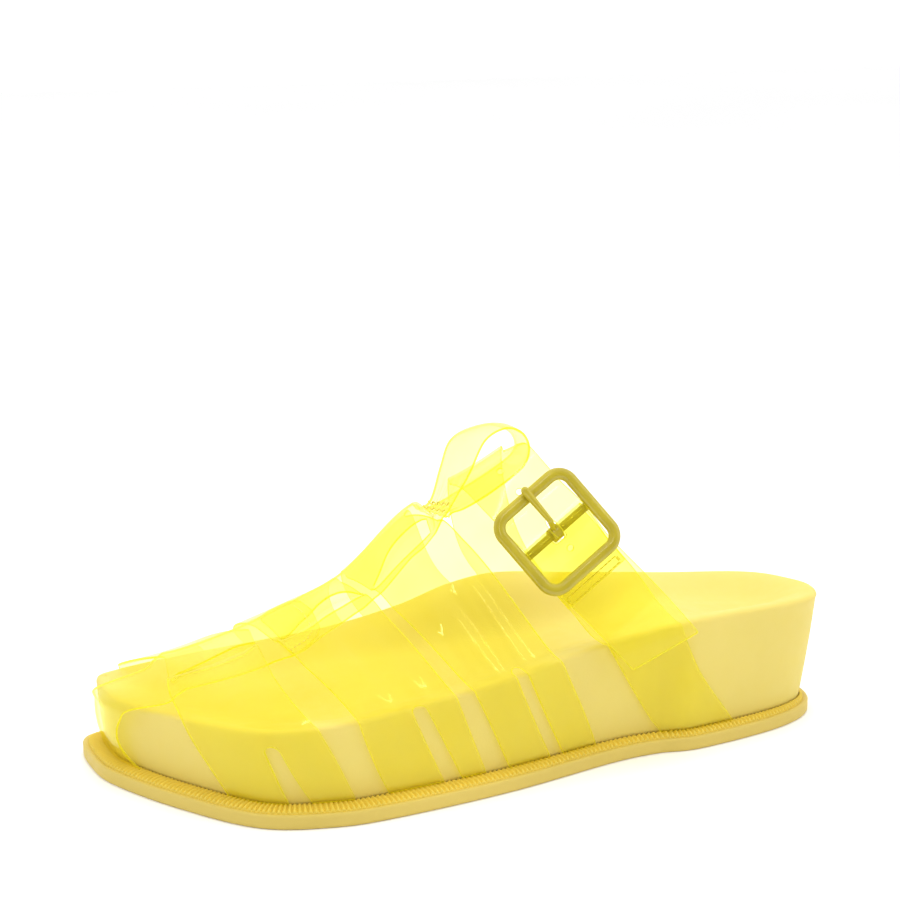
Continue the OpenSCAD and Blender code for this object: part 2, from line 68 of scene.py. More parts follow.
LEVEL_M = [(-60, 0.3), (40, 0.35), (75, 0.3), (100, 0.12), (121, 0.1)]
FOOT_L = [(-100, 11), (-80, 10.4), (-60, 9.48), (-40, 8.32), (-20, 7.68), (0, 7.2), (20, 6.77),
          (40, 6.28), (60, 5.6), (80, 4.55), (100, 3.4), (112, 2.5), (121, 1.75)]
FOOT_M = [(-100, 14.9), (-80, 15.9), (-60, 16.55), (-40, 17.15), (-20, 17.73), (0, 18.32),
          (20, 18.9), (40, 19.45), (60, 20.02), (80, 20.65), (100, 21.45), (112, 22.3),
          (121, 22.95)]
# Strap edges: y at the lateral foot, y at the crest, bow, y at the medial foot, medial bow
FRONT_BAND = [(97.9, 103.8, 5.9, 101, 5), (61.7, 77.2, 10, 64, 12.5)]
MIDDLE_BAND = [(48.6, 75, 6, 52, 7), (15.9, 46.3, 4.2, 18, 5)]
REAR_BAND = [(5.2, 44.1, 6.2, 6, 6), (-28, 24, -0.7, -36, 5.5)]
ANCHOR_STRAP = [(-55.5, 11.7, 5.6, -46, 12), (-83, -12.4, 1.4, -74, 12)]
CROSS_STRAP = [(-55.5, 7.4, 8.8, -46, 9), (-83, -11.8, 1.2, -74, 12)]
# The lengthwise straps' lateral edge, slit and medial edge, in arch shares by crest y
LAT_S = [(14.7, -0.152), (23.5, -0.187), (28.8, -0.184), (41.7, -0.198), (48.7, -0.198),
         (54.6, -0.208), (62.1, -0.22), (73.6, -0.247), (82.2, -0.245), (89, -0.251),
         (93.6, -0.259), (97.7, -0.274), (102.9, -0.307), (107.5, -0.36)]
SLIT_S = [(14.7, -0.14), (18, -0.153), (23.5, -0.168), (34, -0.165), (42, -0.166), (46, -0.143),
          (52, -0.14), (57.3, -0.144), (63.4, -0.155), (73, -0.15), (79, -0.118),
          (83.9, -0.139), (88.3, -0.148), (93.1, -0.16), (98.2, -0.172), (103.2, -0.199),
          (107.5, -0.24)]
MED_S = [(14.7, 0.08), (27, 0.07), (45, 0.06), (60, 0.05), (80, 0.05), (95, 0.06), (107.5, 0.06)]
# How far each slit's medial lip stands back from its lateral one, in arch shares
OPEN_S = [(15, 0), (18.8, 0.026), (22.4, 0.055), (27, 0.066), (32.8, 0.06), (38.6, 0.022),
          (42.2, 0), (44.8, 0), (47.2, 0.027), (49.8, 0.048), (53, 0.058), (57.9, 0.05),
          (61.5, 0.04), (65.7, 0.03), (70, 0.009), (73.3, 0), (79, 0), (81, 0.014),
          (84, 0.034), (88, 0.037), (93, 0.032), (98.2, 0.018), (104, 0.004), (107.3, 0)]
STRIP, MAIN = 10.0, 19.0
# The loop's two edges, y and z, from the flat strap up, over and back under itself
LOOP_LAT = [(19, 81.6), (14.8, 83.4), (11.9, 86.3), (9.3, 91.5), (6.4, 97.4), (1.4, 107),
            (-5.8, 110.4), (-11.8, 108.4), (-14.4, 103), (-12, 97), (-2.2, 90.5),
            (8, 85.1), (11.8, 83.6), (13.6, 82.6)]
LOOP_MED = [(17.5, 79.4), (13.4, 80.2), (10.8, 81.9), (8, 87), (5.4, 93.5), (2.2, 101.4),
            (-4, 105), (-13, 105.9), (-20.4, 102.5), (-21.4, 96.2), (-12, 89.8),
            (3, 82.9), (9.4, 80.6), (11.6, 79.6)]
LOOP_X = (-10.4, 16.0)
SHEET_T = 0.72
PVC_INDEX = 1.45

# The buckle's own frame: x down the strap, y across it, z out of the shoe
BUCKLE_AT = np.array([-23.3, -17.9, 77.4])
STRAP_HALF = 12.6
ANCHOR_LOW = -1.9
ANCHOR_HIGH = 1.96
CROSS_GAP = 1.6
# The free end runs on past the rim: its length at the front edge, how much longer it is at the
# rear edge, how far it drifts sideways, and how it bends in to the wall
FREE_END = 50.9
END_SKEW = 5.6
END_DRIFT = 4.5
END_BEND = 0.0115
FOLD_LEN = 22.0
BUMP_LEN = 14.0


def buckle_axes():
    """Unit vectors of the buckle's frame, from its bar's hinge and its turn."""
    rx, ry, rz = (math.radians(a) for a in (55.5, 47, -130))
    turn = (Matrix.Rotation(rz, 3, "Z") @ Matrix.Rotation(ry, 3, "Y")
            @ Matrix.Rotation(rx, 3, "X"))
    return [np.array(turn @ Vector(v)) for v in ((1, 0, 0), (0, 1, 0), (0, 0, 1))]


DOWN, ACROSS, OUTWARD = buckle_axes()


# ---------------------------------------------------------------- small functions
def smooth(t):
    c = np.clip(t, 0, 1)
    return c * c * (3 - 2 * c)


def curve(x, table):
    """Smooth curve through the points of a table."""
    t = np.asarray(table, float)
    xs, ys = t[:, 0], t[:, 1]
    n = len(xs)
    lo = np.maximum(np.arange(n) - 1, 0)
    hi = np.minimum(np.arange(n) + 1, n - 1)
    slope = (ys[hi] - ys[lo]) / (xs[hi] - xs[lo])
    c = np.clip(x, xs[0], xs[-1])
    i = np.clip(np.searchsorted(xs, c, side="right") - 1, 0, n - 2)
    h = xs[i + 1] - xs[i]
    u = (c - xs[i]) / h
    return ((2 * u**3 - 3 * u**2 + 1) * ys[i] + (u**3 - 2 * u**2 + u) * h * slope[i]
            + (3 * u**2 - 2 * u**3) * ys[i + 1] + (u**3 - u**2) * h * slope[i + 1])


def edge_at(u):
    """Point of the outsole's closed edge curve."""
    u = np.asarray(u, float)
    n = len(EDGE)
    i = np.floor(u).astype(int)
    t = (u - i)[..., None]
    a, b, c, d = (EDGE[(i + k) % n] for k in (-1, 0, 1, 2))
    return 0.5 * (2 * b + (c - a) * t + (2 * a - 5 * b + 4 * c - d) * t**2
                  + (3 * b - a - 3 * c + d) * t**3)


def edge_out(u):
    t = edge_at(np.asarray(u) + 0.02) - edge_at(np.asarray(u) - 0.02)
    t = t / np.linalg.norm(t, axis=-1, keepdims=True)
    return np.stack([t[..., 1], -t[..., 0]], -1)


def wall_at(u, o=0.0):
    """Foot of the footbed's wall, moved out by o."""
    p = edge_at(u)
    return p - edge_out(u) * (curve(p[..., 1], LEDGE) - o)[..., None]


def rim_height(u):
    u = np.asarray(u, float) % len(EDGE)
    y = edge_at(u)[..., 1]
    lateral, medial = curve(y, RIM_L), curve(y, RIM_M)
    # the two sides' heights meet smoothly round the toe and round the heel
    share = smooth(u - HEEL_TURN) * (1 - smooth((u - TOE_TURN) / 0.4)) + 1 - smooth(u)
    share = np.clip(share, 0, 1)
    return lateral * (1 - share) + medial * share


def upper(y, s, o):
    """Point of the upper: crest place y, s from -1 (lateral foot) over 0 (crest) to 1, out by o."""
    y, s, o = np.broadcast_arrays(np.asarray(y, float), np.asarray(s, float),
                                  np.asarray(o, float))
    lat = s <= 0
    u = np.where(lat, curve(y, FOOT_L), curve(y, FOOT_M))
    foot = wall_at(u, o)
    out = edge_out(u)
    lean = curve(foot[..., 1], FLARE)
    rim = np.where(lat, curve(foot[..., 1], RIM_L), curve(foot[..., 1], RIM_M))
    rim_xy = foot + out * lean[..., None]
    top_z = curve(y, CREST) + o
    top_xy = np.stack([curve(y, CREST_X), y], -1)
    rise = top_z - rim
    up = np.where(lat, curve(y, UP_L), curve(y, UP_M))
    level = np.where(lat, curve(y, LEVEL_L), curve(y, LEVEL_M))
    wall = rim - OUTSOLE_T
    far = np.linalg.norm(rim_xy - top_xy, axis=-1)
    share = wall / (wall + 1.05 * np.hypot(far, rise))
    w = 1 - np.abs(s)
    t = np.clip(w / share, 0, 1)
    v = np.clip((w - share) / (1 - share), 0, 1)
    b0, b1, b2, b3 = (1 - v)**3, 3 * v * (1 - v)**2, 3 * v**2 * (1 - v), v**3
    arch = (rim_xy * (b0 + b1)[..., None]
            + (top_xy + (rim_xy - top_xy) * level[..., None]) * b2[..., None]
            + top_xy * b3[..., None])
    arch_z = rim * b0 + (rim + rise * up) * b1 + top_z * (b2 + b3)
    low = (w < share)
    xy = np.where(low[..., None], foot + out * (lean * t)[..., None], arch)
    z = np.where(low, OUTSOLE_T + wall * t, arch_z)
    return np.concatenate([xy, z[..., None]], -1)


def edge_y(edge, s):
    w = 1 - np.abs(s)
    foot = np.where(s <= 0, edge[0], edge[3])
    bow = np.where(s <= 0, edge[2], edge[4])
    return foot + (edge[1] - foot) * w + 4 * bow * w * (1 - w)


def cross_y(strap, s, w):
    return edge_y(strap[0], s) * (1 - w) + edge_y(strap[1], s) * w


def arch_mm(y, s):
    """Length in mm of one unit of arch share, near s."""
    a, b = upper(y, s - 0.01, 1.0), upper(y, s + 0.01, 1.0)
    return np.linalg.norm(a - b, axis=-1) / 0.02


def spline_rows(rows, n):
    """Catmull-Rom through rows of points, n steps between neighbours."""
    p = np.asarray(rows, float)
    out = []
    for i in range(len(p) - 1):
        a, b, c, d = p[max(i - 1, 0)], p[i], p[i + 1], p[min(i + 2, len(p) - 1)]
        for k in range(n):
            t = k / n
            out.append(0.5 * (2 * b + (c - a) * t + (2 * a - 5 * b + 4 * c - d) * t * t
                              + (3 * b - a - 3 * c + d) * t**3))
    out.append(p[-1])
    return np.array(out)


# ---------------------------------------------------------------- materials
def new_material(name):
    m = bpy.data.materials.new(name)
    m.use_nodes = True
    m.node_tree.nodes.clear()
    return m, m.node_tree


def node(nt, kind, inputs=None, **props):
    """A node whose inputs are given values, or linked where a socket is given."""
    n = nt.nodes.new(kind)
    for k, v in props.items():
        setattr(n, k, v)
    for k, v in (inputs or {}).items():
        if isinstance(v, bpy.types.NodeSocket):
            nt.links.new(v, n.inputs[k])
        else:
            n.inputs[k].default_value = v
    return n


def surface(m, shader):
    """Ends a material's nodes with its shader."""
    node(m.node_tree, "ShaderNodeOutputMaterial", {"Surface": shader.outputs[0]})
    return m


def mixed(nt, share, a, b):
    return node(nt, "ShaderNodeMixShader", {0: share, 1: a.outputs[0], 2: b.outputs[0]})


def noise(nt, scale, detail=2.0, rough=0.5):
    at = node(nt, "ShaderNodeTexCoord").outputs["Object"]
    return node(nt, "ShaderNodeTexNoise", {"Vector": at, "Scale": scale, "Detail": detail,
                                           "Roughness": rough}).outputs["Fac"]


def ramp(nt, fac, stops):
    r = node(nt, "ShaderNodeValToRGB", {"Fac": fac})
    for el, (pos, col) in zip(r.color_ramp.elements, stops):
        el.position = pos
        el.color = (*col, 1)
    return r.outputs["Color"]


def bump(nt, height, strength, distance):
    return node(nt, "ShaderNodeBump", {"Height": height, "Strength": strength,
                                       "Distance": distance}).outputs["Normal"]


def spread(nt, fac, low, high):
    """A noise factor stretched to the range low to high."""
    return node(nt, "ShaderNodeMapRange", {"Value": fac, "From Min": 0.3, "From Max": 0.7,
                                           "To Min": low, "To Max": high}).outputs["Result"]


def pvc_material():
    """Clear yellow sheet: each face takes out blue, and its gloss is broken by soft unevenness."""
    m, nt = new_material("clear_pvc")
    tint = ramp(nt, noise(nt, 60), [(0.3, (0.999, 0.995, 0.69)), (0.7, (1.0, 0.998, 0.74))])
    clear = node(nt, "ShaderNodeBsdfTransparent", {"Color": tint})
    haze = node(nt, "ShaderNodeBsdfTranslucent", {"Color": (1.0, 0.95, 0.18, 1)})
    gloss = node(nt, "ShaderNodeBsdfGlossy", {
        "Color": (0.98, 0.96, 0.5, 1), "Roughness": spread(nt, noise(nt, 35), 0.04, 0.13),
        "Normal": bump(nt, noise(nt, 45, 1.0), 0.1, 0.0006)})
    # the same index on both faces, as the sheet doesn't bend the light
    facing = node(nt, "ShaderNodeNewGeometry").outputs["Backfacing"]
    index = node(nt, "ShaderNodeMapRange", {"Value": facing, "To Min": PVC_INDEX,
                                            "To Max": 1 / PVC_INDEX}).outputs["Result"]
    fresnel = node(nt, "ShaderNodeFresnel", {"IOR": index}).outputs[0]
    return surface(m, mixed(nt, fresnel, mixed(nt, 0.02, clear, haze), gloss))


def pvc_edge_material():
    """Cut edge of the sheet, which gathers light and looks bright and saturated; that gathered
    light is painted into its deep yellow colour as a glow.
    """
    m, nt = new_material("pvc_cut_edge_painted_glow")
    # painted glow: all three shaders take a deeper, brighter yellow than the sheet, for the light
    # the real edge gathers
    clear = node(nt, "ShaderNodeBsdfTransparent", {"Color": (1.0, 0.98, 0.3, 1)})
    tint = ramp(nt, noise(nt, 30), [(0.3, (1.0, 0.92, 0.03)), (0.7, (1.0, 0.95, 0.06))])
    glow = node(nt, "ShaderNodeBsdfTranslucent", {"Color": tint})
    face = node(nt, "ShaderNodeBsdfPrincipled", {"Base Color": tint, "Roughness": 0.22,
                                                 "IOR": PVC_INDEX})
    return surface(m, mixed(nt, 0.6, clear, mixed(nt, 0.35, glow, face)))


def moulded_material(name, dark, light, rough, grain, depth, sss=0.0):
    """Moulded foam or rubber: slow colour drift, fine pores and an uneven sheen."""
    m, nt = new_material(name)
    tint = ramp(nt, noise(nt, 18, 4.0), [(0.35, dark), (0.65, light)])
    inputs = {"IOR": 1.45, "Base Color": tint,
              "Roughness": spread(nt, noise(nt, 220, 3.0), rough - 0.08, rough + 0.08),
              "Normal": bump(nt, noise(nt, grain, 4.0, 0.6), 0.35, depth)}
    if sss:
        inputs |= {"Subsurface Weight": sss, "Subsurface Radius": (1.0, 0.7, 0.3),
                   "Subsurface Scale": 0.003}
    return surface(m, node(nt, "ShaderNodeBsdfPrincipled", inputs))


def enamel_material():
    m, nt = new_material("buckle_enamel")
    tint = ramp(nt, noise(nt, 140, 3.0), [(0.3, (0.44, 0.35, 0.015)), (0.7, (0.52, 0.42, 0.02))])
    return surface(m, node(nt, "ShaderNodeBsdfPrincipled", {
        "IOR": 1.35, "Coat Weight": 0.7, "Coat Roughness": 0.04, "Base Color": tint,
        "Roughness": spread(nt, noise(nt, 500), 0.16, 0.26),
        "Normal": bump(nt, noise(nt, 300, 1.0), 0.06, 0.0002)}))


def thread_material():
    m, nt = new_material("thread")
    at = node(nt, "ShaderNodeTexCoord").outputs["Object"]
    wave = node(nt, "ShaderNodeTexWave", {"Vector": at, "Scale": 900.0, "Distortion": 1.0})
    # darker and lighter stripes: painted shade in the grooves of the twisted thread and painted
    # light on its strands
    twist_stripe_shade = ramp(nt, wave.outputs["Fac"], [(0.2, (0.75, 0.6, 0.05)), (0.8, (0.95, 0.82, 0.16))])
    return surface(m, node(nt, "ShaderNodeBsdfPrincipled", {
        "Base Color": twist_stripe_shade, "Roughness": 0.55, "Sheen Weight": 0.3}))


def floor_material():
    m, nt = new_material("floor")
    tint = ramp(nt, noise(nt, 2), [(0.3, (0.93, 0.93, 0.93)), (0.7, (0.95, 0.95, 0.95))])
    return surface(m, node(nt, "ShaderNodeBsdfPrincipled", {
        "Base Color": tint, "Roughness": 0.9, "Emission Strength": 0.07,
        "Emission Color": (1, 1, 1, 1)}))


PVC = pvc_material()
PVC_EDGE = pvc_edge_material()
FOAM = moulded_material("footbed_foam", (0.75, 0.605, 0.14), (0.79, 0.645, 0.155), 0.62, 900,
                        0.00018, 0.15)
RUBBER = moulded_material("outsole_rubber", (0.66, 0.5, 0.105), (0.71, 0.54, 0.12), 0.55, 1100,
                          0.00015)
WELT = moulded_material("welt_rubber", (0.8, 0.6, 0.075), (0.86, 0.65, 0.09), 0.5, 1100, 0.0001)
BOARD = moulded_material("filler_board", (0.55, 0.45, 0.2), (0.62, 0.5, 0.24), 0.8, 600, 0.0002)
ENAMEL = enamel_material()
THREAD = thread_material()


# ---------------------------------------------------------------- mesh building
def add_mesh(name, verts, faces, materials, face_mats=None, sharp=None):
    """verts in mm. face_mats is a material index for each face, sharp a set of edge pairs."""
    me = bpy.data.meshes.new(name)
    me.from_pydata((np.asarray(verts) * MM).tolist(), [], [list(map(int, f)) for f in faces])
    for m in materials:
        me.materials.append(m)
    if face_mats is not None:
        me.polygons.foreach_set("material_index", np.asarray(face_mats, np.int32))
    me.polygons.foreach_set("use_smooth", np.ones(len(me.polygons), bool))
    if sharp:
        flags = [(min(e.vertices), max(e.vertices)) in sharp for e in me.edges]
        me.attributes.new("sharp_edge", "BOOLEAN", "EDGE").data.foreach_set("value", flags)
    me.update()
    me.validate()
    ob = bpy.data.objects.new(name, me)
    bpy.context.scene.collection.objects.link(ob)
    return ob


def inside(poly, pts):
    """Which points lie in a polygon."""
    x, y = pts[:, 0:1], pts[:, 1:2]
    a, b = poly, np.roll(poly, -1, axis=0)
    cross = (a[:, 1] > y) != (b[:, 1] > y)
    with np.errstate(divide="ignore", invalid="ignore"):
        at = (b[:, 0] - a[:, 0]) * (y - a[:, 1]) / (b[:, 1] - a[:, 1]) + a[:, 0]
    return (cross & (x < at)).sum(1) % 2 == 1


def gap_to(poly, pts):
    """Distance of each point from a polygon's outline."""
    a, b = poly, np.roll(poly, -1, axis=0)
    d = b - a
    t = ((pts[:, None] - a) * d).sum(-1) / np.maximum((d * d).sum(-1), 1e-12)
    near = a + d * np.clip(t, 0, 1)[..., None]
    return np.linalg.norm(pts[:, None] - near, axis=-1).min(1)


def resample(poly, step):
    """A closed outline with points about every step, its corners kept."""
    p = np.asarray(poly, float)
    out = []
    for a, b in zip(p, np.roll(p, -1, axis=0)):
        n = max(1, int(round(np.linalg.norm(b - a) / step)))
        out += [a + (b - a) * k / n for k in range(n)]
    return np.array(out)


def fill(loops, step, clear=0.5):
    """Flat triangle mesh inside the first outline and outside the others."""
    outer = loops[0]
    lo, hi = outer.min(0), outer.max(0)
    rows = np.arange(lo[1] + step / 2, hi[1], step * 0.866)
    pts = np.array([(x + (step / 2 if k % 2 else 0), y) for k, y in enumerate(rows)
                    for x in np.arange(lo[0] + step / 2, hi[0], step)])
    keep = inside(outer, pts) & (gap_to(outer, pts) > step * clear)
    for h in loops[1:]:
        keep &= ~inside(h, pts) & (gap_to(h, pts) > step * 0.4)
    verts, edges = [], []
    for loop in loops:
        base = len(verts)
        verts += [tuple(p) for p in loop]
        edges += [(base + i, base + (i + 1) % len(loop)) for i in range(len(loop))]
    verts += [tuple(p) for p in pts[keep]]
    flat, _, tris, *_ = delaunay_2d_cdt([Vector(v) for v in verts], edges, [], 0, 1e-5)
    flat = np.array([tuple(v) for v in flat])
    tris = np.array([tuple(f) for f in tris])
    mid = flat[tris].mean(1)
    good = inside(outer, mid)
    for h in loops[1:]:
        good &= ~inside(h, mid)
    tris = tris[good]
    used = np.unique(tris)
    index = -np.ones(len(flat), int)
    index[used] = np.arange(len(used))
    flat, tris = flat[used], index[tris]
    a, b, c = (flat[tris[:, k]] for k in range(3))
    area = (b - a)[:, 0] * (c - a)[:, 1] - (b - a)[:, 1] * (c - a)[:, 0]
    tris[area < 0] = tris[area < 0][:, ::-1]
    return flat, tris


def cut_sheet(name, outline, holes, place, t=SHEET_T, step=1.6):
    """A sheet cut from a flat outline with holes, placed in space by place(uv), t thick,
    with slightly rounded cut edges in their own material, painted bright for the light they gather."""
    loops = [resample(outline, step * 0.75)] + [resample(h, step * 0.5) for h in holes]
    flat, tris = fill(loops, step)
    return thick_sheet(name, place(flat), tris, t)


RIM_PROFILE = [(0.0, 1.0), (0.14, 0.74), (0.2, 0.0), (0.14, -0.74), (0.0, -1.0)]


def thick_sheet(name, mid, tris, t):
    """A middle surface made into a closed sheet with a narrow rounded rim."""
    n = len(mid)
    fn = np.cross(mid[tris[:, 1]] - mid[tris[:, 0]], mid[tris[:, 2]] - mid[tris[:, 0]])
    normal = np.zeros_like(mid)
    for k in range(3):
        np.add.at(normal, tris[:, k], fn)
    normal /= np.maximum(np.linalg.norm(normal, axis=1, keepdims=True), 1e-9)
    directed = set(map(tuple, np.concatenate([tris[:, [0, 1]], tris[:, [1, 2]], tris[:, [2, 0]]])))
    border = [(a, b) for a, b in directed if (b, a) not in directed]
    border.sort()
    along = np.zeros_like(mid)
    for a, b in border:
        d = mid[b] - mid[a]
        along[a] += d
        along[b] += d
    ids = sorted({a for e in border for a in e})
    out = np.cross(along[ids], normal[ids])
    out /= np.maximum(np.linalg.norm(out, axis=1, keepdims=True), 1e-9)
    verts = [mid + normal * t / 2, mid - normal * t / 2]
    ring = {}
    for k, (push, level) in enumerate(RIM_PROFILE[1:-1]):
        verts.append(mid[ids] + normal[ids] * level * t / 2 + out * push * t)
        ring[k] = {v: 2 * n + k * len(ids) + i for i, v in enumerate(ids)}
    faces = tris.tolist() + (tris[:, ::-1] + n).tolist()
    mats = [0] * len(faces)
    steps = len(RIM_PROFILE) - 1
    sharp = set()
    for a, b in border:
        chain_a = [a] + [ring[k][a] for k in range(steps - 1)] + [a + n]
        chain_b = [b] + [ring[k][b] for k in range(steps - 1)] + [b + n]
        for k in range(steps):
            faces.append([chain_b[k], chain_a[k], chain_a[k + 1], chain_b[k + 1]])
            mats.append(1)
        sharp.add((min(a, b), max(a, b)))
        sharp.add((min(a, b) + n, max(a, b) + n))
    return add_mesh(name, np.concatenate(verts), faces, [PVC, PVC_EDGE], mats, sharp)


class Patch:
    """A dense grid of points with flat coordinates: u in mm along its rows, v across them."""

    def __init__(self, grid):
        self.g = np.asarray(grid, float)
        self.width = np.linalg.norm(np.diff(self.g, axis=1), axis=-1).sum(1).mean()
        seg = np.linalg.norm(np.diff(self.g, axis=0), axis=-1).mean(1)
        self.at = np.concatenate([[0], np.cumsum(seg)])
        self.length = self.at[-1]

    def column(self, v):
        return np.clip(v / self.width, 0, 1) * (self.g.shape[1] - 1)

    def place(self, uv):
        g = self.g
        i, j = np.interp(uv[:, 0], self.at, np.arange(len(g))), self.column(uv[:, 1])
        i0 = np.clip(i.astype(int), 0, g.shape[0] - 2)
        j0 = np.clip(j.astype(int), 0, g.shape[1] - 2)
        a, b = (i - i0)[:, None], (j - j0)[:, None]
        return ((g[i0, j0] * (1 - a) + g[i0 + 1, j0] * a) * (1 - b)
                + (g[i0, j0 + 1] * (1 - a) + g[i0 + 1, j0 + 1] * a) * b)


def rounded(points, radii, n=8):
    """Outline with its corners rounded, one radius for each point."""
    p = np.asarray(points, float)
    out = []
    for k in range(len(p)):
        a, b, c = p[k - 1], p[k], p[(k + 1) % len(p)]
        r = radii[k]
        if r <= 0:
            out.append(b)
            continue
        d0, d1 = (a - b) / np.linalg.norm(a - b), (c - b) / np.linalg.norm(c - b)
        for i in range(n + 1):
            t = i / n
            out.append(b + d0 * r * (1 - t)**2 + d1 * r * t**2)
    return np.array(out)


# ---------------------------------------------------------------- sole
SIDE_STEPS = 40
EDGE_US = np.arange(len(EDGE) * SIDE_STEPS) / SIDE_STEPS


def ring_faces(n, k):
    """Faces between k rings of n points that run anticlockwise seen from above."""
    return [[a * n + i, a * n + (i + 1) % n, (a + 1) * n + (i + 1) % n, (a + 1) * n + i]
            for a in range(k - 1) for i in range(n)]


def ring3(xy, z):
    return np.concatenate([xy, np.broadcast_to(z, xy.shape[:1])[:, None]], 1)


def build_outsole():
    """Flat rubber sole with a softly rounded lip; the lip's top is the smooth border."""
    edge, out = edge_at(EDGE_US), edge_out(EDGE_US)
    profile = [(-2.2, 0.0), (-0.9, 0.0), (-0.35, 0.25), (-0.05, 0.8), (0.0, 1.6), (-0.05, 3.2),
               (0.0, 4.2), (-0.25, 4.65), (-0.7, 4.8), (-1.3, 4.72), (-1.9, 4.5), (-2.2, 4.35)]
    rings = [ring3(edge + out * o, z) for o, z in profile]
    ledge = curve(edge[:, 1], LEDGE)
    rings.append(ring3(edge - out * (ledge + 3)[:, None], 4.3))
    n, k = len(edge), len(rings)
    faces = ring_faces(n, k) + [list(range(n))[::-1], list(range((k - 1) * n, k * n))]
    body = add_mesh("outsole_body", np.concatenate(rings), faces, [RUBBER])
    cut(body, groove_cutter())
    return body


def groove_cutter():
    """Wavy tread grooves across the underside."""
    verts, faces = [], []
    depth, half, pitch = 1.2, 1.1, 14
    for y0 in range(-98, 99, pitch):
        near = edge_at(EDGE_US)[np.abs(edge_at(EDGE_US)[:, 1] - y0) < 3.5][:, 0]
        xs = np.linspace(near[near < 0].max() + 4, near[near > 0].min() - 4, 48)
        ys = y0 + 2.4 * np.sin(xs * 2 * np.pi / 23.5)
        base = len(verts)
        for x, y in zip(xs, ys):
            verts += [(x, y - half, -1), (x, y + half, -1), (x, y + half * 0.6, depth),
                      (x, y - half * 0.6, depth)]
        for i in range(len(xs) - 1):
            a, b = base + 4 * i, base + 4 * i + 4
            faces += [[a + k, a + (k + 1) % 4, b + (k + 1) % 4, b + k][::-1] for k in range(4)]
        faces += [[base, base + 1, base + 2, base + 3][::-1],
                  [base + 4 * (len(xs) - 1) + k for k in range(4)]]
    return add_mesh("cutter", verts, faces, [RUBBER])


def cut(body, cutter):
    """Applied boolean difference."""
    for ob in (body, cutter):
        bpy.context.view_layer.objects.active = ob
        for o in bpy.context.selected_objects:
            o.select_set(False)
        ob.select_set(True)
        bpy.ops.object.mode_set(mode="EDIT")
        bpy.ops.mesh.select_all(action="SELECT")
        bpy.ops.mesh.normals_make_consistent(inside=False)
        bpy.ops.object.mode_set(mode="OBJECT")
    md = body.modifiers.new("cut", "BOOLEAN")
    md.operation = "DIFFERENCE"
    md.solver = "EXACT"
    md.object = cutter
    bpy.context.view_layer.objects.active = body
    bpy.ops.object.modifier_apply(modifier=md.name)
    bpy.data.objects.remove(cutter)


RIB_PITCH = 1.75


def build_welt():
    """Raised ring round the straps' feet, with fine ribs across it."""
    us = np.linspace(0, len(EDGE), 6001)
    edge = edge_at(us[:-1])
    length = np.concatenate([[0], np.cumsum(np.linalg.norm(
        np.diff(np.vstack([edge, edge[:1]]), axis=0), axis=1))])
    total = length[-1]
    ribs = int(total / RIB_PITCH)
    per = 8
    at = np.arange(ribs * per) * total / (ribs * per)
    u = np.interp(at, length, us)
    phase = (np.arange(ribs * per) % per) / per
    rib = (0.5 + 0.5 * np.cos(2 * np.pi * phase))**0.7
    outer = curve(edge_at(u)[:, 1], LEDGE) - 1.9
    inner = np.minimum(0.25, outer - 0.7)
    # height of the ribs falls towards the outside, where each ends rounded
    rings = [ring3(wall_at(u, inner), 4.2), ring3(wall_at(u, inner), 5.6 + 0.45 * rib),
             ring3(wall_at(u, inner + 0.35), 5.75 + 0.55 * rib)]
    for f, top, cutdown in ((0.35, 5.75, 0.62), (0.7, 5.6, 0.7), (0.88, 5.35, 0.72)):
        rings.append(ring3(wall_at(u, inner + (outer - inner) * f),
                           top - cutdown * (1 - rib) + 0.5 * rib))
    rings.append(ring3(wall_at(u, outer - 0.08 - 0.12 * (1 - rib)), 4.95 + 0.45 * rib))
    rings.append(ring3(wall_at(u, outer), 4.3))
    faces = ring_faces(len(u), len(rings))
    return add_mesh("ribbed_welt_ring", np.concatenate(rings[::-1]), faces, [WELT])


def build_footbed():
    """Thick foam footbed: leaning wall, softly rounded rim and a shallow dish for the foot."""
    p, out = wall_at(EDGE_US), edge_out(EDGE_US)
    lean = curve(p[:, 1], FLARE)
    rim = rim_height(EDGE_US)
    q = p + out * lean[:, None]
    base = OUTSOLE_T + 1.3
    # the wall's foot reaches down between the straps' feet, inside the welt
    rings = [ring3(p - out * 0.5, OUTSOLE_T + 0.25), ring3(p - out * 0.1, OUTSOLE_T + 0.6)]
    for f in (0.03, 0.12, 0.25, 0.4, 0.55, 0.7, 0.82, 0.9):
        swell = 0.35 * math.sin(math.pi * f)
        rings.append(ring3(p + out * (lean * f + swell)[:, None],
                           base + (rim - 2.2 - base) * f / 0.9))
    rings += [ring3(q - out * k, rim - d)
              for k, d in ((0.02, 1.3), (0.3, 0.62), (0.85, 0.2), (1.6, 0.02), (2.4, 0.0),
                           (3.4, 0.12))]
    n = len(EDGE_US)
    lip = rings[-1]
    flat, tris = fill([lip[:, :2]], 3.0, 0.6)
    z = dish_heights(flat, lip)
    verts = np.concatenate(rings + [np.concatenate([flat, z[:, None]], 1)])
    faces = ring_faces(n, len(rings)) + [list(range(n))[::-1]]
    faces += (tris + len(rings) * n).tolist()
    body = add_mesh("footbed_body", verts, faces, [FOAM])
    bm = bmesh.new()
    bm.from_mesh(body.data)
    bmesh.ops.remove_doubles(bm, verts=bm.verts, dist=0.01 * MM)
    bm.to_mesh(body.data)
    bm.free()
    return body


